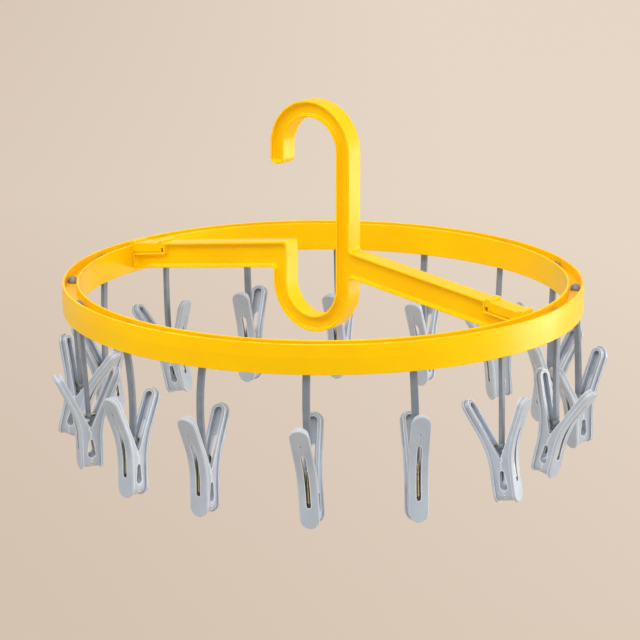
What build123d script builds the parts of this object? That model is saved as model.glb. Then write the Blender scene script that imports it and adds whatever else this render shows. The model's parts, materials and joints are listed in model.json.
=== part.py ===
from build123d import *
import math
import os

# Clip drying hanger: a yellow carrier ring held by a one-piece hook bar, with sixteen
# spring pegs that hang from the ring on rubber straps.
# Millimetres and degrees. +Z is up, the bar runs along X and the rail runs along Y.
# The origin is the centre of the rail in the hook.

# ---------------------------------------------------------------- hook bar
hook_inner_radius = 23.8
hook_width = 12.0            # height of the section seen from the side
bar_depth = 14.0             # size of the section along the rail
hook_tip_drop = 14.0         # straight end of the hook below its centre
hook_tip_round = 4.5
shank_offset = 16.5          # shank's hook side from the ring's centre
lower_hook_inner_radius = 22.5
lower_hook_drop = 6.0        # its centre below the ring's rim
rim_drop = 94.6              # the ring's rim below the rail's centre
arm_height = 19.4
arm_slope = 8.5              # the arms rise from the ring to the shank
arm_end_rise = 1.6           # top of an arm above the rim, at the ring
bar_rim = 1.4                # flange left round the recessed web
web_recess = 3.0
web_corner_round = 2.0
web_foot_round = 1.8
bar_corner_round = 2.2
bar_edge_round = 0.6

# ---------------------------------------------------------------- carrier ring
ring_outer_radius = 190.0
channel_width = 12.5
ring_height = 21.4
ring_wall = 1.8
ring_draft = 0.45            # the outer wall bulges this much at its crease
crease_depth = 9.5
rim_round = 0.7
floor_depth = 6.9            # channel floor below the rim
floor_thickness = 2.4
bar_end_gap = 0.4            # between an arm's end and the ring's inner wall

# Tongue of the ring in the notch of an arm
notch_length = 30.3
notch_depth = 7.6
tongue_end_gap = 2.6
tongue_seat_gap = 0.1
tongue_side_inset = 0.2
tongue_lip_height = 1.5
tongue_lip_length = 2.2
tongue_nose_height = 4.2      # top of the tongue's end, which reaches on to the notch's end
tongue_nose_gap = 0.4
tongue_chamfer = 0.8
locating_peg_radius = 2.5
locating_peg_height = 4.0
locating_peg_clearance = 0.3
locating_peg_inset = 10.0    # from the arm's end

# ---------------------------------------------------------------- hanging straps
peg_count = 16
head_radius = 3.6
head_dome_height = 3.3
head_seat_clearance = 0.1
strap_hole_radius = 3.1
strap_hole_land = 0.4
strap_hole_flare = 4.1
head_recess_radius = 4.1
head_recess_depth = 0.6
neck_radius = 2.1
neck_length = 10.0
strap_width = 5.1
strap_thickness = 3.0
strap_length = 82.4          # head centre to eye centre
strap_edge_round = 0.6
strap_neck_overlap = 2.0     # the flat strap starts inside the neck
eye_outer_radius = 2.9
eye_clearance = 0.6

# ---------------------------------------------------------------- pegs
clip_width = 13.8            # outer plate
clip_body_inset = 1.2        # plate beyond the body, all round
plate_thickness = 2.2
plate_edge_round = 0.7
jaw_thickness = 8.5
jaw_drop = 31.5              # fulcrum to the peg's lower end
knee_drop = 8.0              # where the outer face starts to bend
bend_radius = 60.0
handle_angle = 25.0
handle_thickness = 5.5
handle_rise = 43.8           # fulcrum to the top of a handle
half_gap = 0.05              # each half to the peg's middle plane
fulcrum_radius = 1.5
fulcrum_clearance = 0.1
teardrop_top_radius = 1.75
teardrop_bottom_radius = 2.85
teardrop_top_drop = 8.0
teardrop_bottom_drop = 22.0
trough_width = 6.6
trough_depth = 3.0
trough_tip_margin = 3.6
trough_start_rise = 3.0
slot_width = 3.2
slot_top_rise = 23.6
slot_bottom_drop = 16.9
dimple_radius = 0.7
dimple_depth = 0.5
dimple_from_tip = 13.5
groove_width = 1.0
jaw_teeth = 3
jaw_tooth_depth = 0.5
jaw_tooth_pitch = 2.2

# Peg spring
wire_radius = 0.9
wire_bridge_rise = 9.0       # the bridge above the fulcrum
wire_shoulder_x = 6.9
wire_leg_x = 7.4
wire_leg_drop = 13.2
wire_hook_x = 6.0
wire_hook_drop = 15.2
wire_shoulder_bend = 2.2
wire_hook_bend = 1.2

# How each peg hangs: the lean of its strap outwards and along the ring, the peg's turn
# about the vertical, its tilts in the opening plane and along the ring, all in degrees,
# and the bow of its strap in percent of the strap's length.
hang = [
    # lean_out, lean_along, turn, tilt_out, tilt_along, bow
    (-0.56, 2.43, -13.0, 12.0, -3.0, -1.46),
    (2.78, 0.35, 40.0, -11.0, 10.0, -0.97),
    (-3.13, -4.18, 17.0, -6.0, 16.0, 0.97),
    (-0.83, 1.39, -17.0, -7.0, 4.0, 0.97),
    (0.56, 0.83, 2.0, -3.5, 1.0, 0.73),
    (3.13, -1.67, -18.0, -1.0, 0.8, 0.73),
    (3.13, -2.78, -38.0, 6.0, -2.0, 0.73),
    (0.83, -2.43, 22.0, 11.0, -4.5, 1.82),
    (-2.43, 5.22, -6.0, -6.0, -18.0, 1.21),
    (-2.57, -5.43, -22.0, -12.0, 5.0, 0.97),
    (-3.9, 0.14, 0.0, 2.0, -4.0, 0.97),
    (-4.04, 0.21, 10.0, -3.0, 3.0, 3.64),
    (-3.13, -2.02, -5.0, -1.0, 1.0, -4.13),
    (0.63, 1.25, -10.0, -1.0, 4.0, -1.46),
    (-1.25, 2.78, -10.0, -12.0, -1.0, 0.73),
    (-1.81, 3.41, 22.0, -9.5, -1.5, 0.73),
]

cut_margin = 1.0             # how far cuts reach past what they cut, and joins reach in

# ---------------------------------------------------------------- worked-out places
hook_outer_radius = hook_inner_radius + hook_width
lower_hook_outer_radius = lower_hook_inner_radius + hook_width
lower_hook_x = hook_inner_radius - lower_hook_inner_radius
lower_hook_z = -rim_drop - lower_hook_drop
ring_x = hook_inner_radius - shank_offset
ring_inner_radius = ring_outer_radius - channel_width
strap_circle_radius = (ring_inner_radius + ring_outer_radius) / 2
arm_reach = ring_inner_radius - bar_end_gap
arm_rise_per_mm = math.tan(math.radians(arm_slope))
notch_start = arm_reach - notch_length
seat_depth = floor_depth + head_recess_depth
head_centre_depth = (
    seat_depth
    - math.sqrt(head_radius**2 - strap_hole_radius**2)
    - head_seat_clearance
)
angle = math.radians(handle_angle)
along_handle = Vector(math.sin(angle), 0, math.cos(angle))
out_of_handle = Vector(math.cos(angle), 0, -math.sin(angle))


def cylinder_along(centre, direction, radius, length):
    """A cylinder with its middle at centre."""
    return Plane(origin=centre, z_dir=direction) * Cylinder(radius, length)


def face_in_xz(points):
    """A flat face in the XZ plane, from (x, z) points."""
    return Plane.XZ * make_face(Polyline(*points, close=True))


# ---------------------------------------------------------------- hook bar
def arm_top(distance):
    """Height of an arm's top edge, at a distance from the ring's centre."""
    return -rim_drop + arm_end_rise + (arm_reach - distance) * arm_rise_per_mm


def arm_outline(side, root):
    """One arm from its root to the ring, without its notch. side is 1 or -1."""
    def corner(distance, below_top):
        return (ring_x + side * distance, arm_top(distance) - below_top)
    points = [
        corner(root, 0),
        corner(notch_start, 0),
        corner(notch_start, notch_depth),
        corner(arm_reach, notch_depth),
        corner(arm_reach, arm_height),
        corner(root, arm_height),
    ]
    return make_face(Polyline(*points, close=True))


def block(x_low, x_high, z_low, z_high):
    """A rectangle between two corners."""
    return Pos((x_low + x_high) / 2, (z_low + z_high) / 2) * Rectangle(
        x_high - x_low, z_high - z_low
    )


def bar_outline():
    big = 2 * hook_outer_radius
    hook = Circle(hook_outer_radius) - Circle(hook_inner_radius)
    hook &= block(-big, big, 0, big)
    hook_tip = block(-hook_outer_radius, -hook_inner_radius, -hook_tip_drop, 0)
    hook_tip = fillet(
        hook_tip.vertices().group_by(Axis.Y)[0], hook_tip_round
    )
    shank = block(hook_inner_radius, hook_outer_radius, lower_hook_z, 0)
    bend = Circle(lower_hook_outer_radius) - Circle(lower_hook_inner_radius)
    bend &= block(-big, big, -big, 0)
    bend = Pos(lower_hook_x, lower_hook_z) * bend
    limb_right = lower_hook_x - lower_hook_inner_radius
    limb_root = ring_x - limb_right
    limb_top = arm_top(limb_root) - hook_width / 2
    limb = block(limb_right - hook_width, limb_right, lower_hook_z, limb_top)
    right_arm = arm_outline(1, hook_outer_radius - ring_x - hook_width / 2)
    left_arm = arm_outline(-1, limb_root)
    outline = hook + hook_tip + shank + bend + limb + right_arm + left_arm
    limb_left_root = limb_root + hook_width
    shank_root = hook_outer_radius - ring_x
    corners = [
        (limb_right, arm_top(limb_root)),
        (limb_right - hook_width, arm_top(limb_left_root) - arm_height),
        (hook_outer_radius, arm_top(shank_root)),
        (hook_outer_radius, arm_top(shank_root) - arm_height),
    ]
    rounded = [outline.vertices().sort_by_distance(corner)[0] for corner in corners]
    return fillet(rounded, bar_corner_round)


def make_hook_bar():
    outline = bar_outline()
    web = offset(outline, amount=-bar_rim - web_corner_round)
    web = offset(web, amount=web_corner_round)
    solid = extrude(Plane.XZ * outline, bar_depth / 2, both=True)
    faces_across = solid.edges().group_by(Axis.Y)
    solid = fillet(faces_across[0] + faces_across[-1], bar_edge_round)
    for side in (-1, 1):
        recess = extrude(Plane.XZ * web, web_recess, both=True)
        solid -= Pos(0, side * bar_depth / 2, 0) * recess
    foot_side = bar_depth / 2 - web_recess
    feet = [edge for edge in solid.edges() if abs(abs(edge.center().Y) - foot_side) < 0.01]
    solid = fillet(feet, web_foot_round)
    for side in (-1, 1):
        distance = arm_reach - locating_peg_inset
        foot = arm_top(distance) - notch_depth
        solid += Pos(ring_x + side * distance, 0, foot) * Cylinder(
            locating_peg_radius, 2 * locating_peg_height
        )
    return solid


# ---------------------------------------------------------------- carrier ring
def ring_section():
    """The channel: two walls, a floor between them and a skirt below it."""
    outer = ring_outer_radius - ring_draft
    outer_inside = outer - ring_wall
    inner_inside = ring_inner_radius + ring_wall
    floor_under = floor_depth + floor_thickness
    points = [
        (outer, 0),
        (ring_outer_radius, -crease_depth),
        (outer, -ring_height),
        (outer_inside, -ring_height),
        (outer_inside, -floor_under),
        (inner_inside, -floor_under),
        (inner_inside, -ring_height),
        (ring_inner_radius, -ring_height),
        (ring_inner_radius, 0),
        (inner_inside, 0),
        (inner_inside, -floor_depth),
        (outer_inside, -floor_depth),
        (outer_inside, 0),
    ]
    section = make_face(Polyline(*points, close=True))
    rims = section.vertices().group_by(Axis.Y)[-1]
    feet = section.vertices().group_by(Axis.Y)[0]
    return fillet(rims + feet, rim_round)


def strap_hole():
    """What a strap's hole removes, with the ring's rim at z = 0."""
    flare_end = floor_depth + floor_thickness
    points = [
        (0, -floor_depth + cut_margin),
        (head_recess_radius, -floor_depth + cut_margin),
        (head_recess_radius, -seat_depth),
        (strap_hole_radius, -seat_depth),
        (strap_hole_radius, -seat_depth - strap_hole_land),
        (strap_hole_flare, -flare_end),
        (strap_hole_flare, -flare_end - cut_margin),
        (0, -flare_end - cut_margin),
    ]
    return revolve(face_in_xz(points), Axis.Z)


def strap_angle(index):
    """Where strap number index hangs; the bar lies midway between two straps."""
    return (index + 0.5) * 360 / peg_count


def make_tongue(side):
    """One tongue of the ring, with its lips, in the bar's frame."""
    width = bar_depth - 2 * tongue_side_inset
    root = ring_inner_radius + ring_wall / 2
    end = notch_start + tongue_end_gap
    under = notch_depth - tongue_seat_gap

    def bar(near, far, top, bottom):
        points = [
            (ring_x + side * near, arm_top(near) + top),
            (ring_x + side * far, arm_top(far) + top),
            (ring_x + side * far, arm_top(far) - bottom),
            (ring_x + side * near, arm_top(near) - bottom),
        ]
        return extrude(face_in_xz(points), width / 2, both=True)
    tongue = bar(end, root, 0, under)
    along = [edge for edge in tongue.edges() if abs(edge.tangent_at(0.5).X) > 0.9]
    tongue = chamfer(ShapeList(along).sort_by(Axis.Z)[:2], tongue_chamfer)
    lip_at_ring = ring_inner_radius - tongue_lip_length
    nose_end = notch_start + tongue_nose_gap
    tongue += bar(nose_end, end + tongue_lip_length, tongue_lip_height, tongue_nose_height)
    tongue += bar(lip_at_ring, root, tongue_lip_height, cut_margin)
    hole_distance = arm_reach - locating_peg_inset
    hole_foot = arm_top(hole_distance) - notch_depth
    hole = Cylinder(
        locating_peg_radius + locating_peg_clearance,
        2 * (locating_peg_height + 2 * locating_peg_clearance),
    )
    return tongue - Pos(ring_x + side * hole_distance, 0, hole_foot) * hole


def make_ring():
    ring = revolve(Plane.XZ * ring_section(), Axis.Z)
    for index in range(peg_count):
        place = Rot(0, 0, strap_angle(index)) * Pos(strap_circle_radius, 0, 0)
        ring -= place * strap_hole()
    ring = Pos(ring_x, 0, -rim_drop) * ring
    return ring + make_tongue(1) + make_tongue(-1)


# ---------------------------------------------------------------- hanging straps
def strap_head():
    """Dome, ball underside and round neck, with the ball's centre at the origin."""
    neck_top = -math.sqrt(head_radius**2 - neck_radius**2)
    dome_radius = (head_radius**2 + head_dome_height**2) / (2 * head_dome_height)
    half = head_radius / 2
    half_height = head_dome_height - dome_radius + math.sqrt(dome_radius**2 - half**2)
    ball = head_radius * math.sqrt(0.5)
    edges = [
        ThreePointArc((head_radius, 0), (half, half_height), (0, head_dome_height)),
        Line((0, head_dome_height), (0, -neck_length)),
        Line((0, -neck_length), (neck_radius, -neck_length)),
        Line((neck_radius, -neck_length), (neck_radius, neck_top)),
        ThreePointArc((neck_radius, neck_top), (ball, -ball), (head_radius, 0)),
    ]
    return revolve(Plane.XZ * make_face(edges), Axis.Z)


def strap_band(bow):
    """The flat strap from the neck to the eye; it bows sideways by a percentage."""
    bow_width = strap_length * bow / 100
    top = -neck_length + strap_neck_overlap
    middle = (top - strap_length) / 2
    half = strap_width / 2
    edges = [
        ThreePointArc((half, top), (half + bow_width, middle), (half, -strap_length)),
        Line((half, -strap_length), (-half, -strap_length)),
        ThreePointArc((-half, -strap_length), (bow_width - half, middle), (-half, top)),
        Line((-half, top), (half, top)),
    ]
    band = extrude(Plane.YZ * make_face(edges), strap_thickness / 2, both=True)
    long_edges = [edge for edge in band.edges() if edge.length > strap_length / 2]
    band = fillet(long_edges, strap_edge_round)
    end = cylinder_along((0, 0, -strap_length), (1, 0, 0), eye_outer_radius, strap_thickness)
    return band + end


def make_strap(bow):
    eye = cylinder_along(
        (0, 0, -strap_length), (1, 0, 0), wire_radius + eye_clearance, 2 * strap_thickness
    )
    return strap_head() + strap_band(bow) - eye


# ---------------------------------------------------------------- pegs
def outer_contour(inset, end_inset):
    """Points and arc of a half's outer face, moved in by inset."""
    bend_x = jaw_thickness + bend_radius
    radius = bend_radius + inset
    low = (jaw_thickness - inset, -jaw_drop + end_inset)
    knee = (jaw_thickness - inset, -knee_drop)
    half_angle = angle / 2
    bend_middle = (
        bend_x - radius * math.cos(half_angle),
        -knee_drop + radius * math.sin(half_angle),
    )
    bend_end = (
        bend_x - radius * math.cos(angle),
        -knee_drop + radius * math.sin(angle),
    )
    inner_tip_rise = handle_thickness * math.sin(angle)
    outer_bend_rise = -knee_drop + bend_radius * math.sin(angle)
    length = (handle_rise - inner_tip_rise - outer_bend_rise) / math.cos(angle) - end_inset
    tip = (bend_end[0] + length * along_handle.X, bend_end[1] + length * along_handle.Z)
    return low, knee, bend_middle, bend_end, tip


def plate_section():
    """Side view of a half's outer plate."""
    low, knee, bend_middle, bend_end, tip = outer_contour(0, 0)
    low_in, knee_in, middle_in, bend_in, tip_in = outer_contour(plate_thickness, 0)
    edges = [
        Line(low, knee),
        ThreePointArc(knee, bend_middle, bend_end),
        Line(bend_end, tip),
        Line(tip, tip_in),
        Line(tip_in, bend_in),
        ThreePointArc(bend_in, middle_in, knee_in),
        Line(knee_in, low_in),
        Line(low_in, low),
    ]
    return Plane.XZ * make_face(edges)


def body_section():
    """Side view of a half's narrower body, to the peg's middle plane."""
    low, knee, bend_middle, bend_end, tip = outer_contour(0, clip_body_inset)
    tip_in = (
        tip[0] - handle_thickness * out_of_handle.X,
        tip[1] - handle_thickness * out_of_handle.Z,
    )
    vertex = (half_gap, tip_in[1] - (tip_in[0] - half_gap) / math.tan(angle))
    jaw_end = (half_gap, low[1])
    edges = [
        Line(low, knee),
        ThreePointArc(knee, bend_middle, bend_end),
        Line(bend_end, tip),
        Line(tip, tip_in),
        Line(tip_in, vertex),
        Line(vertex, jaw_end),
        Line(jaw_end, low),
    ]
    return Plane.XZ * make_face(edges)


def handle_point(from_tip, into=0.0):
    """A point on the outer face, from_tip below the tip and into the handle."""
    tip = outer_contour(0, 0)[4]
    return (
        Vector(tip[0], 0, tip[1]) - along_handle * from_tip - out_of_handle * into
    )


def round_ends(solid, width, end_inset):
    """Cuts both ends of a half to half-rounds of its width."""
    over = 2 * cut_margin
    corner = Pos(0, width / 4 + cut_margin) * Rectangle(width + over, width / 2 + over)
    corner -= Circle(width / 2)
    reach = 3 * jaw_thickness
    tip_plane = Plane(
        origin=handle_point(end_inset + width / 2), x_dir=(0, 1, 0), z_dir=out_of_handle
    )
    low_plane = Plane(
        origin=(0, 0, -jaw_drop + end_inset + width / 2), x_dir=(0, 1, 0), z_dir=(-1, 0, 0)
    )
    for plane in (tip_plane, low_plane):
        solid -= extrude(plane * corner, reach, both=True)
    return solid


def outer_distance(point):
    """How far a point lies from the half's outer face."""
    bend_x = jaw_thickness + bend_radius
    if point.Z < -knee_drop:
        return abs(point.X - jaw_thickness)
    bend_end = outer_contour(0, 0)[3]
    if point.Z < bend_end[1]:
        return abs(math.hypot(point.X - bend_x, point.Z + knee_drop) - bend_radius)
    off = Vector(point.X - bend_end[0], 0, point.Z - bend_end[1])
    return abs(off.dot(out_of_handle))


def outer_edges(plate):
    """The edges round a plate's outer face."""
    found = []
    for edge in plate.edges():
        across = abs(edge.tangent_at(0.5).Y) > 0.99 and edge.geom_type == GeomType.LINE
        if not across and all(outer_distance(edge @ t) < 0.01 for t in (0, 0.3, 0.7, 1)):
            found.append(edge)
    return found


def make_half():
    """One peg half on the +X side, with the fulcrum at the origin and no fulcrum yet."""
    plate = extrude(plate_section(), clip_width / 2, both=True)
    plate = round_ends(plate, clip_width, 0)
    plate = fillet(outer_edges(plate), plate_edge_round)
    body_width = clip_width - 2 * clip_body_inset
    body = extrude(body_section(), body_width / 2, both=True)
    body = round_ends(body, body_width, clip_body_inset)
    half = plate + body
    half -= teardrop()
    half -= handle_trough()
    half -= spring_slot()
    half -= dimple_and_groove()
    return half - jaw_grooves()


def teardrop():
    """Hole between the two jaws, across the peg."""
    upper = Pos(0, -teardrop_top_drop - teardrop_top_radius) * Circle(teardrop_top_radius)
    lower = Pos(0, -teardrop_bottom_drop + teardrop_bottom_radius) * Circle(
        teardrop_bottom_radius
    )
    outline = make_hull((upper + lower).edges())
    return extrude(Plane.XZ * outline, clip_width, both=True)


def handle_trough():
    """Hollow on the inner side of a handle, open towards the fulcrum."""
    start_from_tip = (handle_rise - trough_start_rise) / math.cos(angle)
    length = start_from_tip - trough_tip_margin - trough_width / 2
    outline = Pos(0, length / 2) * Rectangle(trough_width, length)
    outline += Pos(0, length) * Circle(trough_width / 2)
    start = handle_point(start_from_tip, handle_thickness)
    plane = Plane(origin=start, x_dir=(0, 1, 0), z_dir=out_of_handle)
    cut = extrude(plane * outline, trough_depth)
    return cut + extrude(plane * outline, -trough_depth)


def spring_slot():
    """Slot through a half, for a leg of the spring."""
    from_tip = (handle_rise - slot_top_rise) / math.cos(angle)
    end_radius = slot_width / 2
    top = handle_point(from_tip + end_radius)
    over = top + out_of_handle * jaw_thickness
    under = top - out_of_handle * (handle_thickness + jaw_thickness / 2)
    low = -slot_bottom_drop + end_radius
    points = [
        (-cut_margin, low),
        (2 * jaw_thickness, low),
        (over.X, over.Z),
        (under.X, under.Z),
        (-cut_margin, 0),
    ]
    slot = extrude(face_in_xz(points), end_radius, both=True)
    slot += cylinder_along(
        top - out_of_handle * handle_thickness, out_of_handle, end_radius, 3 * handle_thickness
    )
    return slot + cylinder_along((jaw_thickness, 0, low), (1, 0, 0), end_radius, 3 * jaw_thickness)


def dimple_and_groove():
    """Small dimple near the tip and the shallow groove from it to the slot."""
    slot_from_tip = (handle_rise - slot_top_rise) / math.cos(angle)
    length = slot_from_tip + slot_width / 2 - dimple_from_tip
    centre = handle_point(dimple_from_tip)
    cut = cylinder_along(centre, out_of_handle, dimple_radius, 2 * dimple_depth)
    plane = Plane(
        origin=handle_point(dimple_from_tip + length / 2), x_dir=(0, 1, 0), z_dir=out_of_handle
    )
    return cut + plane * Box(groove_width, length, dimple_depth)


def jaw_grooves():
    """Grip grooves across the jaw's face."""
    cuts = []
    for number in range(jaw_teeth):
        rise = jaw_drop - clip_body_inset - (number + 0.8) * jaw_tooth_pitch
        points = [
            (0, -rise - jaw_tooth_depth),
            (half_gap + jaw_tooth_depth, -rise),
            (0, -rise + jaw_tooth_depth),
        ]
        cuts.append(extrude(face_in_xz(points), clip_width, both=True))
    return Part() + cuts


def make_clip_halves():
    """The outer half with its groove and the inner half with its ridge."""
    half = make_half()
    groove = cylinder_along(
        (0, 0, 0), (0, 1, 0), fulcrum_radius + fulcrum_clearance, 2 * clip_width
    )
    body_width = clip_width - 2 * clip_body_inset
    ridge = cylinder_along((0, 0, 0), (0, 1, 0), fulcrum_radius, body_width)
    ridge -= Box(4 * fulcrum_radius, slot_width, 4 * fulcrum_radius)
    return half - groove, mirror(half, Plane.YZ) + ridge


def make_spring():
    """Wire with a bridge above the fulcrum and a leg in each half's slot."""
    points = [
        (wire_hook_x, -wire_hook_drop),
        (wire_leg_x, -wire_leg_drop),
        (wire_shoulder_x, wire_bridge_rise),
        (-wire_shoulder_x, wire_bridge_rise),
        (-wire_leg_x, -wire_leg_drop),
        (-wire_hook_x, -wire_hook_drop),
    ]
    points = [(x, 0, z) for x, z in points]
    bends = [wire_hook_bend, wire_shoulder_bend, wire_shoulder_bend, wire_hook_bend]
    path = FilletPolyline(*points, radius=bends)
    start = Plane(origin=path @ 0, z_dir=path % 0)
    return sweep(start * Circle(wire_radius), path)


# ---------------------------------------------------------------- hanging places
def strap_place(index):
    """Frame of a strap: origin in its head, -Z to its eye, X through the eye's hole."""
    lean_out, lean_along, turn = hang[index][:3]
    out = strap_length * math.sin(math.radians(lean_out))
    along = strap_length * math.sin(math.radians(lean_along))
    ring_turn = Pos(ring_x, 0, -rim_drop) * Rot(0, 0, strap_angle(index))
    head = ring_turn * Pos(strap_circle_radius, 0, -head_centre_depth)
    drop = math.sqrt(strap_length**2 - out**2 - along**2)
    eye = head * Pos(out, along, -drop)
    facing = strap_angle(index) + turn
    x_dir = Vector(1, 0, 0).rotate(Axis.Z, facing)
    plane = Plane(origin=head.position, x_dir=x_dir, z_dir=head.position - eye.position)
    return plane.location, eye.position


def clip_place(index):
    """Frame of a peg: origin at its fulcrum, X in its opening direction."""
    turn, tilt_out, tilt_along = hang[index][2:5]
    eye = strap_place(index)[1]
    turned = Pos(eye) * Rot(0, 0, strap_angle(index) + turn)
    return turned * Rot(0, tilt_out, 0) * Rot(tilt_along, 0, 0) * Pos(0, 0, -wire_bridge_rise)


os.makedirs("parts", exist_ok=True)
export_step(make_hook_bar(), "parts/hook_bar.step")
export_step(make_ring(), "parts/ring.step")

outer_half, inner_half = make_clip_halves()
spring = make_spring()
for index in range(peg_count):
    strap = strap_place(index)[0] * make_strap(hang[index][5])
    at_clip = clip_place(index)
    group = Compound(children=[strap.solid(), (at_clip * spring).solid()])
    number = f"{index + 1:02d}"
    export_step(group, f"parts/strap_with_spring_{number}.step")
    export_step(at_clip * outer_half, f"parts/clip_{number}_outer.step")
    export_step(at_clip * inner_half, f"parts/clip_{number}_inner.step")
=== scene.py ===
"""Clip drying hanger: camera, light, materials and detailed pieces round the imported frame."""
import json
import math

import bmesh
import bpy
from mathutils import Matrix, Vector


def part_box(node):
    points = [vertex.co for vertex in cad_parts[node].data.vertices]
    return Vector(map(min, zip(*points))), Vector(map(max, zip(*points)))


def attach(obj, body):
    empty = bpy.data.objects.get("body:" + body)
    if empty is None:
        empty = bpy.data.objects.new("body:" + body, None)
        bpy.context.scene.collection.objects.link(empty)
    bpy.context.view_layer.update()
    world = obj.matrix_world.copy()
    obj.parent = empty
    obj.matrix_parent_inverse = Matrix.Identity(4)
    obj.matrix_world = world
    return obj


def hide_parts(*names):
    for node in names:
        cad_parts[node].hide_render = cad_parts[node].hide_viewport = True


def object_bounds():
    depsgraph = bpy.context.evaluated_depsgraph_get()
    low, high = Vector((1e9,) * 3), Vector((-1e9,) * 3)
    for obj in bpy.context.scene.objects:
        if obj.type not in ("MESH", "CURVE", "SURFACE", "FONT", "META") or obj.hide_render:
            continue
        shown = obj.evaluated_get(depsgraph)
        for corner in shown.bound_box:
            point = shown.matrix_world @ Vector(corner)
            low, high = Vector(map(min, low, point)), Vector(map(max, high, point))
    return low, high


MM = 0.001

PEG_COUNT = 16

# Peg straps, as in the solids
HEAD_RADIUS = 3.6 * MM
HEAD_DOME = 3.3 * MM
NECK_RADIUS = 2.1 * MM
NECK_LENGTH = 10.0 * MM
NECK_TAPER = 3.0 * MM         # from the round neck to the flat band
BOW_START = 2.0 * MM          # the strap bows from this far above the neck's end
STRAP_HALF_WIDTH = 2.55 * MM
STRAP_HALF_THICKNESS = 1.5 * MM
STRAP_EDGE = 0.7 * MM
EYE_RADIUS = 2.9 * MM
EYE_LIP_RADIUS = 1.75 * MM
EYE_LIP = 0.3 * MM
EYE_FIRST_TURN = -52          # degrees, where the round eye end leaves the band's sides
EYE_TURN_STEP = 14

# Sections of a strap's mesh
CORNER_STEPS = 8
HEAD_STEPS = 6
TAPER_STEPS = 6
BAND_STEPS = 26
EYE_STEPS = 11
BOW_PROBE = 20 * MM           # from here a ray looks for the CAD strap's side

# Peg springs
WIRE_RADIUS = 0.9 * MM
BRIDGE_RISE = 9.0 * MM
SHOULDER_X = 6.9 * MM
LEG_X = 7.4 * MM
LEG_DROP = 13.2 * MM
HOOK_X = 6.0 * MM
HOOK_DROP = 15.2 * MM
SHOULDER_BEND = 2.2 * MM
HOOK_BEND = 1.2 * MM
BEND_STEPS = 7

# Softened copies of the peg halves, with angles in degrees
WELD_DISTANCE = 0.002 * MM
FLAT_ANGLE = 0.6              # faces that differ by less are joined
SOFT_EDGE = 0.25 * MM
SOFT_EDGE_ANGLE = 28          # edges sharper than this are rounded
CRISP_ANGLE = 35              # edges sharper than this are shaded crisp
STRAP_CRISP_ANGLE = 50

# Camera
CAMERA_AZIMUTH = 37.15
CAMERA_ELEVATION = 13.79
CAMERA_DISTANCE = 2.126
CAMERA_LENS = 163.9
CAMERA_REACH = 50
AIM_BELOW_RING = 31.5 * MM
AIM_LEFT_OF_RING = 2.15 * MM
RING_RIM_Z = -94.6 * MM       # the ring's top, below the rail's centre

# Floor and backdrop
FLOOR_DROP = 0.55
FLOOR_SIZE = 12
FLOOR_DARK = (212, 194, 177)
FLOOR_LIGHT = (236, 220, 203)
FLOOR_GLOW = 0.9
FLOOR_FAR = (1.0, 3.4, 0.13, 0.85)        # metres away, then share of the light colour
FLOOR_ACROSS = (-1.5, 1.5, -0.8, 0.8)     # metres to the right, then share added
WORLD_COLOUR = (1.0, 0.97, 0.93, 1.0)
WORLD_STRENGTH = 0.4

# Lamps: name, direction from the ring, distance, diameter, power
LAMP_COLOUR = (1.0, 0.98, 0.95)
LAMPS = (
    ("top", (0.3, -0.4, 0.86), 2.4, 1.8, 34),
    ("key", (-0.6, -0.5, 0.6), 2.4, 1.2, 20),
    ("high side", (0.75, 0.5, 0.4), 2.2, 1.4, 15),
    ("low side", (0.65, 0.75, -0.18), 2.0, 1.2, 20),
    ("fill", (0.6, -0.75, 0.35), 2.6, 1.8, 10),
)

# Colours of the plastics, rubber and wire, 0-255: two that drift into each other,
# then those of painted edge highlights and of painted shade in corners
YELLOW = ((255, 198, 0), (255, 205, 0))
YELLOW_EDGE_HIGHLIGHT = (255, 222, 44)
PALE = ((169, 182, 199), (177, 190, 206))
PALE_EDGE_HIGHLIGHT = (230, 235, 242)
PALE_SHADED = (50, 54, 60)
GREY = ((118, 129, 144), (132, 143, 157))
GREY_EDGE_HIGHLIGHT = (156, 166, 178)
BRASS = ((202, 198, 150), (128, 126, 88))


# ---------------------------------------------------------------- materials
def srgb(red, green, blue):
    """Linear colour from 0-255 display values."""
    linear = []
    for value in (red, green, blue):
        share = value / 255
        if share <= 0.04045:
            linear.append(share / 12.92)
        else:
            linear.append(((share + 0.055) / 1.055) ** 2.4)
    return (*linear, 1.0)


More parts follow.
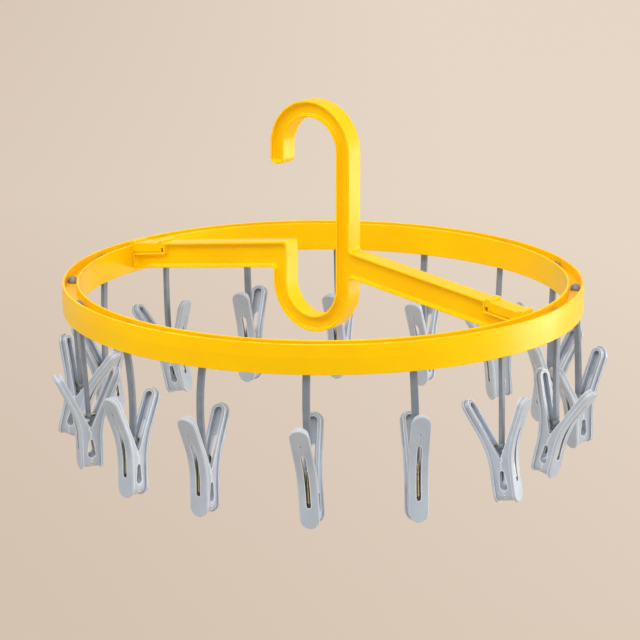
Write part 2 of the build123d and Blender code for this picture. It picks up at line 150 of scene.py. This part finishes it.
class Nodes:
    """A material's node tree, with short calls that add and link its nodes."""

    def __init__(self, name):
        self.material = bpy.data.materials.new(name)
        self.material.use_nodes = True
        self.tree = self.material.node_tree
        self.shader = self.tree.nodes["Principled BSDF"]
        coordinates = self.tree.nodes.new("ShaderNodeTexCoord")
        self.place = coordinates.outputs["Object"]

    def add(self, kind, **settings):
        node = self.tree.nodes.new(kind)
        for key, value in settings.items():
            setattr(node, key, value)
        return node

    def link(self, source, target):
        self.tree.links.new(source, target)

    def noise(self, scale, detail, roughness=0.5, stretch=None):
        """Noise over the object's coordinates; scale is in bumps per metre."""
        node = self.add("ShaderNodeTexNoise")
        node.inputs["Scale"].default_value = scale
        node.inputs["Detail"].default_value = detail
        node.inputs["Roughness"].default_value = roughness
        if stretch:
            mapping = self.add("ShaderNodeMapping")
            mapping.inputs["Scale"].default_value = stretch
            self.link(self.place, mapping.inputs["Vector"])
            self.link(mapping.outputs["Vector"], node.inputs["Vector"])
        else:
            self.link(self.place, node.inputs["Vector"])
        return node.outputs["Fac"]

    def spread(self, value, low, high, to_low=0.0, to_high=1.0):
        """Maps a value from one range to another."""
        node = self.add("ShaderNodeMapRange")
        node.inputs["From Min"].default_value = low
        node.inputs["From Max"].default_value = high
        node.inputs["To Min"].default_value = to_low
        node.inputs["To Max"].default_value = to_high
        self.link(value, node.inputs["Value"])
        return node.outputs["Result"]

    def mix(self, share, first, second):
        """Mixes two colours, each a socket or a plain colour."""
        node = self.add("ShaderNodeMix", data_type="RGBA")
        self.link(share, node.inputs["Factor"])
        for key, colour in (("A", first), ("B", second)):
            socket = [s for s in node.inputs if s.name == key and s.type == "RGBA"][0]
            if isinstance(colour, tuple):
                socket.default_value = colour
            else:
                self.link(colour, socket)
        return [s for s in node.outputs if s.type == "RGBA"][0]

    def math(self, operation, first, second):
        """A sum, product or other result of two sockets or numbers."""
        node = self.add("ShaderNodeMath", operation=operation)
        for socket, value in zip(node.inputs, (first, second)):
            if isinstance(value, (int, float)):
                socket.default_value = value
            else:
                self.link(value, socket)
        return node.outputs["Value"]

    def openness(self, reach):
        """How open the surface is to its surroundings: low in corners, slots and seams."""
        node = self.add("ShaderNodeAmbientOcclusion", samples=8)
        node.inputs["Distance"].default_value = reach
        return node.outputs["AO"]

    def edges(self, width):
        """1 on outward edges, 0 on the faces between and in corners: where a painted edge highlight goes."""
        node = self.add("ShaderNodeAmbientOcclusion", samples=8, only_local=True, inside=True)
        node.inputs["Distance"].default_value = width
        return self.spread(node.outputs["AO"], 0.9, 0.6)

    def bump(self, heights, distance, strength):
        """Bumps the surface by a height socket; distance in metres."""
        node = self.add("ShaderNodeBump")
        node.inputs["Distance"].default_value = distance
        node.inputs["Strength"].default_value = strength
        self.link(heights, node.inputs["Height"])
        self.link(node.outputs["Normal"], self.shader.inputs["Normal"])

    def drift(self, value, low, high, colours):
        """One colour that drifts into another as a value goes from low to high."""
        return self.mix(self.spread(value, low, high), srgb(*colours[0]), srgb(*colours[1]))

    def colour(self, source):
        """Gives the shader its colour."""
        self.link(source, self.shader.inputs["Base Color"])

    def roughness(self, noise, smooth, rough):
        """Roughness that a noise moves between two values."""
        self.link(self.spread(noise, 0.3, 0.7, smooth, rough), self.shader.inputs["Roughness"])

    def set(self, **values):
        """Sets shader inputs by name, with _ for each space."""
        for key, value in values.items():
            self.shader.inputs[key.replace("_", " ")].default_value = value


def yellow_plastic():
    """Glossy-satin moulded plastic: even colour, faint flow marks and painted highlights on its edges."""
    look = Nodes("yellow_plastic")
    face = look.drift(look.noise(14, detail=2), 0.35, 0.65, YELLOW)
    # painted highlight: a paler yellow along the outward edges
    look.colour(look.mix(look.edges(0.7 * MM), face, srgb(*YELLOW_EDGE_HIGHLIGHT)))
    look.roughness(look.noise(90, detail=4), 0.28, 0.36)
    look.set(Specular_IOR_Level=0.38, Specular_Tint=(1.0, 0.8, 0.3, 1.0))
    look.set(Subsurface_Weight=0.3, Subsurface_Scale=3.0 * MM)
    look.set(Subsurface_Radius=(1.0, 0.4, 0.03))
    look.bump(look.noise(2600, detail=2), 0.012 * MM, 0.6)
    return look.material


def pale_plastic():
    """Grey-blue moulded peg plastic with a fine grain, painted highlights on its rims and painted shade in its
    slots and corners.
    """
    look = Nodes("pale_plastic")
    face = look.drift(look.noise(60, detail=3), 0.35, 0.65, PALE)
    # painted shade: darker where the surface is closed in, in slots and corners; painted highlight: paler on open
    # outward rims
    openness = look.openness(5.0 * MM)
    shaded = look.mix(look.spread(openness, 0.6, 0.25), face, srgb(*PALE_SHADED))
    painted_rim_highlight = look.math("MULTIPLY", look.edges(0.9 * MM), look.spread(openness, 0.6, 0.85))
    look.colour(look.mix(painted_rim_highlight, shaded, srgb(*PALE_EDGE_HIGHLIGHT)))
    look.roughness(look.noise(250, detail=3), 0.3, 0.4)
    look.set(Specular_IOR_Level=0.4, Subsurface_Weight=0.1, Subsurface_Scale=1.2 * MM)
    look.set(Subsurface_Radius=(0.8, 0.9, 1.0))
    look.bump(look.noise(3800, detail=3), 0.015 * MM, 0.7)
    return look.material


def grey_rubber():
    """Rubber of the straps, with a soft bloom, a drawn grain along them and painted highlights on its edges."""
    look = Nodes("grey_rubber")
    bloom = look.noise(120, detail=4, roughness=0.6)
    face = look.drift(bloom, 0.3, 0.7, GREY)
    # painted highlight: a paler grey along the strap's outward edges
    look.colour(look.mix(look.edges(0.6 * MM), face, srgb(*GREY_EDGE_HIGHLIGHT)))
    look.roughness(bloom, 0.42, 0.55)
    look.set(Specular_IOR_Level=0.5, Sheen_Weight=0.05, Sheen_Roughness=0.5)
    look.bump(look.noise(2400, detail=3, stretch=(1.0, 1.0, 0.25)), 0.03 * MM, 0.7)
    return look.material


def brass_wire():
    """Drawn spring wire, brass-coloured, with a dull oxide in places."""
    look = Nodes("brass_wire")
    oxide = look.noise(420, detail=4, roughness=0.6)
    look.colour(look.drift(oxide, 0.4, 0.72, BRASS))
    look.roughness(oxide, 0.2, 0.34)
    look.set(Metallic=1.0)
    look.bump(look.noise(5000, detail=2), 0.01 * MM, 0.5)
    return look.material


# ---------------------------------------------------------------- mesh helpers
def new_object(name, mesh, material):
    """A mesh object in the scene, with one material."""
    mesh.materials.clear()
    mesh.materials.append(material)
    piece = bpy.data.objects.new(name, mesh)
    bpy.context.scene.collection.objects.link(piece)
    return piece


def smooth_by_angle(mesh, degrees):
    """Smooth shading, with edges sharper than an angle left crisp."""
    mesh.shade_smooth()
    mesh.set_sharp_from_angle(angle=math.radians(degrees))


# ---------------------------------------------------------------- what hangs where
class Peg:
    """The places of one strap, spring and peg, read from the frame's joints and mounts."""

    def __init__(self, number):
        self.number = number
        self.strap_body = f"strap_{number}"
        joints = {joint["name"]: joint for joint in frame["joints"]}
        mounts = {mount["name"]: mount for mount in frame["record"]["mounts"]}
        hinge = joints[f"peg_open_{number}_inner"]
        jaw = mounts[f"jaw_{number}"]
        across = Vector(hinge["axis"]).normalized()
        up = -Vector(jaw["axis"]).normalized()
        opening = across.cross(up).normalized()
        self.fulcrum = Vector(hinge["pos_m"])
        self.peg_frame = self.frame_of(self.fulcrum, opening, across, up)
        self.head = Vector(joints[f"strap_swing_{number}"]["pos_m"])
        self.eye = self.fulcrum + up * BRIDGE_RISE
        strap_up = (self.head - self.eye).normalized()
        flat = Vector((opening.x, opening.y, 0)).normalized()
        flat = (flat - strap_up * flat.dot(strap_up)).normalized()
        self.strap_frame = self.frame_of(self.head, flat, strap_up.cross(flat), strap_up)
        self.strap_length = (self.head - self.eye).length

    @staticmethod
    def frame_of(origin, x_axis, y_axis, z_axis):
        """A placement from an origin and three axes."""
        turn = Matrix((x_axis, y_axis, z_axis)).transposed().to_4x4()
        return Matrix.Translation(origin) @ turn


# ---------------------------------------------------------------- straps
def rounded_section(half_x, half_y, corner):
    """Points round a rectangle with round corners; a circle where corner is both halves."""
    points = []
    for quarter in range(4):
        side_x = 1 if quarter in (0, 3) else -1
        side_y = 1 if quarter in (0, 1) else -1
        for step in range(CORNER_STEPS):
            turn = math.radians(90 * (quarter + (step + 0.5) / CORNER_STEPS))
            x = side_x * (half_x - corner) + corner * math.cos(turn)
            y = side_y * (half_y - corner) + corner * math.sin(turn)
            points.append((x, y))
    return points


def strap_sections(length, bow):
    """(height, centre y, half x, half y, corner) from the dome down to the end."""
    sections = []
    top = BOW_START - NECK_LENGTH

    def add(z, half_x, half_y, corner):
        share = min(max((top - z) / (length + top), 0), 1)
        sections.append((z, 4 * bow * share * (1 - share), half_x, half_y, corner))

    dome = (HEAD_RADIUS**2 + HEAD_DOME**2) / (2 * HEAD_DOME)
    for step in range(1, HEAD_STEPS + 1):
        across = HEAD_RADIUS * math.sin(math.radians(90 * step / HEAD_STEPS))
        z = HEAD_DOME - dome + math.sqrt(dome**2 - across**2)
        add(z, across, across, across)
    neck_turn = math.acos(NECK_RADIUS / HEAD_RADIUS)
    for step in range(1, HEAD_STEPS + 1):
        turn = neck_turn * step / HEAD_STEPS
        across = HEAD_RADIUS * math.cos(turn)
        add(-HEAD_RADIUS * math.sin(turn), across, across, across)
    add(NECK_TAPER - NECK_LENGTH, NECK_RADIUS, NECK_RADIUS, NECK_RADIUS)
    for step in range(1, TAPER_STEPS):
        share = step / TAPER_STEPS
        half_x = NECK_RADIUS + (STRAP_HALF_THICKNESS - NECK_RADIUS) * share
        half_y = NECK_RADIUS + (STRAP_HALF_WIDTH - NECK_RADIUS) * share
        corner = min(half_x, NECK_RADIUS + (STRAP_EDGE - NECK_RADIUS) * share)
        add(NECK_TAPER * (1 - share) - NECK_LENGTH, half_x, half_y, corner)
    for step in range(BAND_STEPS + 1):
        z = -NECK_LENGTH - (length - NECK_LENGTH - EYE_RADIUS) * step / BAND_STEPS
        add(z, STRAP_HALF_THICKNESS, STRAP_HALF_WIDTH, STRAP_EDGE)
    for step in range(EYE_STEPS):
        turn = math.radians(EYE_FIRST_TURN + EYE_TURN_STEP * step)
        across = max(EYE_RADIUS * math.cos(turn), STRAP_EDGE)
        add(-length - EYE_RADIUS * math.sin(turn), STRAP_HALF_THICKNESS, across, STRAP_EDGE)
    return sections


def strap_mesh(length, bow):
    """One moulded strap: dome, ball, neck, flat band and rounded eye end."""
    build = bmesh.new()
    rings = []
    for z, shift, half_x, half_y, corner in strap_sections(length, bow):
        section = rounded_section(half_x, half_y, corner)
        rings.append([build.verts.new((x, y + shift, z)) for x, y in section])
    count = len(rings[0])
    for upper, lower in zip(rings, rings[1:]):
        for i in range(count):
            j = (i + 1) % count
            build.faces.new((upper[i], lower[i], lower[j], upper[j]))
    build.faces.new(rings[0])
    build.faces.new(list(reversed(rings[-1])))
    for side in (-1, 1):
        add_torus(build, Vector((side * STRAP_HALF_THICKNESS, 0, -length)), EYE_LIP_RADIUS, EYE_LIP)
    mesh = bpy.data.meshes.new("strap")
    bmesh.ops.recalc_face_normals(build, faces=build.faces)
    build.to_mesh(mesh)
    build.free()
    return mesh


def add_torus(build, centre, radius, tube, around=24, across=8):
    """A closed ring round the X axis."""
    loops = []
    for i in range(around):
        turn = 2 * math.pi * i / around
        out = Vector((0, math.cos(turn), math.sin(turn)))
        loop = []
        for j in range(across):
            lean = 2 * math.pi * j / across
            place = centre + out * (radius + tube * math.cos(lean))
            loop.append(build.verts.new(place + Vector((tube * math.sin(lean), 0, 0))))
        loops.append(loop)
    for i in range(around):
        near, far = loops[i], loops[(i + 1) % around]
        for j in range(across):
            k = (j + 1) % across
            build.faces.new((near[j], far[j], far[k], near[k]))


def strap_bow(peg, node):
    """How far the CAD strap bows along its width, measured half-way down."""
    middle = (BOW_START - NECK_LENGTH - peg.strap_length) / 2
    start = peg.strap_frame @ Vector((0, BOW_PROBE, middle))
    inward = peg.strap_frame.to_3x3() @ Vector((0, -1, 0))
    found, place, *_ = node.ray_cast(start, inward)
    if not found:
        return 0.0
    return (peg.strap_frame.inverted() @ place).y - STRAP_HALF_WIDTH


def make_strap(peg, material):
    """A peg's strap, from its head to its eye, with the CAD strap's bow."""
    node = frame["nodes"][f"strap_with_spring_{peg.number}"]
    mesh = strap_mesh(peg.strap_length, strap_bow(peg, node))
    smooth_by_angle(mesh, STRAP_CRISP_ANGLE)
    strap = new_object(f"rubber_strap_{peg.number}", mesh, material)
    strap.matrix_world = peg.strap_frame
    return strap


# ---------------------------------------------------------------- springs
def rounded_path(corners, radii):
    """Points along straight runs with an arc at each inner corner."""
    path = [corners[0]]
    for before, corner, after, radius in zip(corners, corners[1:], corners[2:], radii):
        back = (before - corner).normalized()
        ahead = (after - corner).normalized()
        half = back.angle(ahead) / 2
        reach = radius / math.tan(half)
        centre = corner + (back + ahead).normalized() * radius / math.sin(half)
        first = (corner + back * reach - centre).normalized()
        last = (corner + ahead * reach - centre).normalized()
        for step in range(BEND_STEPS + 1):
            path.append(centre + first.slerp(last, step / BEND_STEPS) * radius)
    path.append(corners[-1])
    return path


def make_spring(peg, material):
    """Bent wire: bridge through the strap's eye, two legs and their hooked ends."""
    right = [(HOOK_X, -HOOK_DROP), (LEG_X, -LEG_DROP), (SHOULDER_X, BRIDGE_RISE)]
    left = [(-x, z) for x, z in reversed(right)]
    corners = [Vector((x, 0, z)) for x, z in right + left]
    path = rounded_path(corners, [HOOK_BEND, SHOULDER_BEND, SHOULDER_BEND, HOOK_BEND])
    curve = bpy.data.curves.new("spring", "CURVE")
    curve.dimensions = "3D"
    curve.bevel_depth = WIRE_RADIUS
    curve.bevel_resolution = 4
    curve.use_fill_caps = True
    spline = curve.splines.new("POLY")
    spline.points.add(len(path) - 1)
    for point, place in zip(spline.points, path):
        point.co = (*place, 1)
    curve.materials.append(material)
    spring = bpy.data.objects.new(f"wire_spring_{peg.number}", curve)
    bpy.context.scene.collection.objects.link(spring)
    spring.matrix_world = peg.peg_frame
    return spring


# ---------------------------------------------------------------- softened copies
def softened_copy(node_name, name, material):
    """A copy of a CAD node with its sharp edges rounded, to stand for it."""
    mesh = frame["nodes"][node_name].data.copy()
    build = bmesh.new()
    build.from_mesh(mesh)
    bmesh.ops.remove_doubles(build, verts=build.verts, dist=WELD_DISTANCE)
    bmesh.ops.dissolve_limit(
        build, angle_limit=math.radians(FLAT_ANGLE), verts=build.verts, edges=build.edges
    )
    build.to_mesh(mesh)
    build.free()
    piece = new_object(name, mesh, material)
    bevel = piece.modifiers.new("soft edges", "BEVEL")
    bevel.width = SOFT_EDGE
    bevel.segments = 2
    bevel.limit_method = "ANGLE"
    bevel.angle_limit = math.radians(SOFT_EDGE_ANGLE)
    smooth_by_angle(mesh, CRISP_ANGLE)
    return piece


# ---------------------------------------------------------------- stage
def light(name, direction, distance, size, power):
    """An area lamp that looks at the ring from a direction."""
    data = bpy.data.lights.new(name, "AREA")
    data.shape = "DISK"
    data.size = size
    data.energy = power
    data.color = LAMP_COLOUR
    lamp = bpy.data.objects.new(name, data)
    towards = Vector(direction).normalized()
    lamp.location = ring_centre + towards * distance
    lamp.rotation_euler = towards.to_track_quat("Z", "Y").to_euler()
    lamp.visible_camera = False
    bpy.context.scene.collection.objects.link(lamp)


def make_camera():
    """The camera, at its own angles from the ring's centre and aimed a little off it."""
    azimuth = math.radians(CAMERA_AZIMUTH)
    elevation = math.radians(CAMERA_ELEVATION)
    back = Vector((
        math.sin(azimuth) * math.cos(elevation),
        -math.cos(azimuth) * math.cos(elevation),
        math.sin(elevation),
    ))
    right = Vector((math.cos(azimuth), math.sin(azimuth), 0))
    up = back.cross(right)
    eye = ring_centre + back * CAMERA_DISTANCE
    aim = ring_centre - up * AIM_BELOW_RING - right * AIM_LEFT_OF_RING
    data = bpy.data.cameras.new("camera")
    data.lens = CAMERA_LENS
    data.clip_end = CAMERA_REACH
    camera = bpy.data.objects.new("camera", data)
    camera.location = eye
    camera.rotation_euler = (eye - aim).to_track_quat("Z", "Y").to_euler()
    bpy.context.scene.collection.objects.link(camera)
    bpy.context.scene.camera = camera


def seen_rays(nodes):
    """1 for rays from the camera, in reflections and through clear parts."""
    path = nodes.new("ShaderNodeLightPath")
    total = path.outputs["Is Camera Ray"]
    for name in ("Is Glossy Ray", "Is Transmission Ray"):
        add = nodes.new("ShaderNodeMath")
        add.operation = "MAXIMUM"
        nodes.id_data.links.new(total, add.inputs[0])
        nodes.id_data.links.new(path.outputs[name], add.inputs[1])
        total = add.outputs["Value"]
    return total


def make_floor():
    """Pale paper sweep, with a painted glow for camera rays that is a little lighter far off and to the right."""
    build = bmesh.new()
    bmesh.ops.create_grid(build, x_segments=1, y_segments=1, size=FLOOR_SIZE)
    mesh = bpy.data.meshes.new("floor")
    build.to_mesh(mesh)
    build.free()
    paper = Nodes("floor_paper")
    azimuth = math.radians(CAMERA_AZIMUTH)
    shares = []
    for direction, spread in (
        ((-math.sin(azimuth), math.cos(azimuth), 0), FLOOR_FAR),
        ((math.cos(azimuth), math.sin(azimuth), 0), FLOOR_ACROSS),
    ):
        dot = paper.add("ShaderNodeVectorMath", operation="DOT_PRODUCT")
        dot.inputs[1].default_value = direction
        paper.link(paper.place, dot.inputs[0])
        shares.append(paper.spread(dot.outputs["Value"], *spread))
    share = paper.math("ADD", *shares)
    share.node.use_clamp = True
    colour = paper.mix(share, srgb(*FLOOR_DARK), srgb(*FLOOR_LIGHT))
    paper.set(Roughness=0.95, Specular_IOR_Level=0.1)
    paper.shader.inputs["Base Color"].default_value = srgb(*FLOOR_LIGHT)
    # painted light: the glow seen by the camera carries the gradient of how the lamps light the backdrop
    glow = paper.add("ShaderNodeEmission")
    paper.link(colour, glow.inputs["Color"])
    blend = paper.add("ShaderNodeMixShader")
    paper.link(paper.math("MULTIPLY", seen_rays(paper.tree.nodes), FLOOR_GLOW), blend.inputs[0])
    paper.link(paper.shader.outputs["BSDF"], blend.inputs[1])
    paper.link(glow.outputs["Emission"], blend.inputs[2])
    output = paper.tree.nodes["Material Output"]
    paper.link(blend.outputs["Shader"], output.inputs["Surface"])
    floor = new_object("floor", mesh, paper.material)
    floor.location = (0, 0, cad_low.z - FLOOR_DROP)


def make_world():
    """Even studio light, with the far backdrop's colour where it is seen."""
    world = bpy.data.worlds.new("studio")
    world.use_nodes = True
    bpy.context.scene.world = world
    tree = world.node_tree
    shine = tree.nodes["Background"]
    shine.inputs["Color"].default_value = WORLD_COLOUR
    shine.inputs["Strength"].default_value = WORLD_STRENGTH
    backdrop = tree.nodes.new("ShaderNodeBackground")
    backdrop.inputs["Color"].default_value = srgb(*FLOOR_LIGHT)
    blend = tree.nodes.new("ShaderNodeMixShader")
    tree.links.new(seen_rays(tree.nodes), blend.inputs[0])
    tree.links.new(shine.outputs["Background"], blend.inputs[1])
    tree.links.new(backdrop.outputs["Background"], blend.inputs[2])
    tree.links.new(blend.outputs["Shader"], tree.nodes["World Output"].inputs["Surface"])


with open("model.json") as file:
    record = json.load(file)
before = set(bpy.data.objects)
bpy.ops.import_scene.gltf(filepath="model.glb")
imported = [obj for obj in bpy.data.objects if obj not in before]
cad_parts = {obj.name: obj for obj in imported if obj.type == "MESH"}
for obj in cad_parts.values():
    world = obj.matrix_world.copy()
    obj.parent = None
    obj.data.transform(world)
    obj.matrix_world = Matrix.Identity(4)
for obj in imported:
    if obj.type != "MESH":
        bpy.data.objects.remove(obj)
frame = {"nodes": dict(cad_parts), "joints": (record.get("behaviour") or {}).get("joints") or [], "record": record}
cad_low, cad_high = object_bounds()
ring_low, ring_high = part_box("ring")
ring_centre = Vector((
    (ring_low.x + ring_high.x) / 2,
    (ring_low.y + ring_high.y) / 2,
    RING_RIM_Z,
))

yellow = yellow_plastic()
pale = pale_plastic()
rubber = grey_rubber()
brass = brass_wire()

for name in ("hook_bar", "ring"):
    node = frame["nodes"][name]
    node.data.materials.clear()
    node.data.materials.append(yellow)

for count in range(1, PEG_COUNT + 1):
    peg = Peg(f"{count:02d}")
    strap_node = f"strap_with_spring_{peg.number}"
    for piece, slot in (
        (make_strap(peg, rubber), "grey_rubber"),
        (make_spring(peg, brass), "brass_wire"),
    ):
        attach(piece, peg.strap_body)
        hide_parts(strap_node)
    for side in ("inner", "outer"):
        node_name = f"clip_{peg.number}_{side}"
        half = softened_copy(node_name, f"peg_{peg.number}_{side}_half", pale)
        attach(half, f"peg_{peg.number}_{side}")
        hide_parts(node_name)

make_camera()
make_floor()
make_world()
for lamp in LAMPS:
    light(*lamp)

bpy.context.scene.view_settings.view_transform = "Standard"
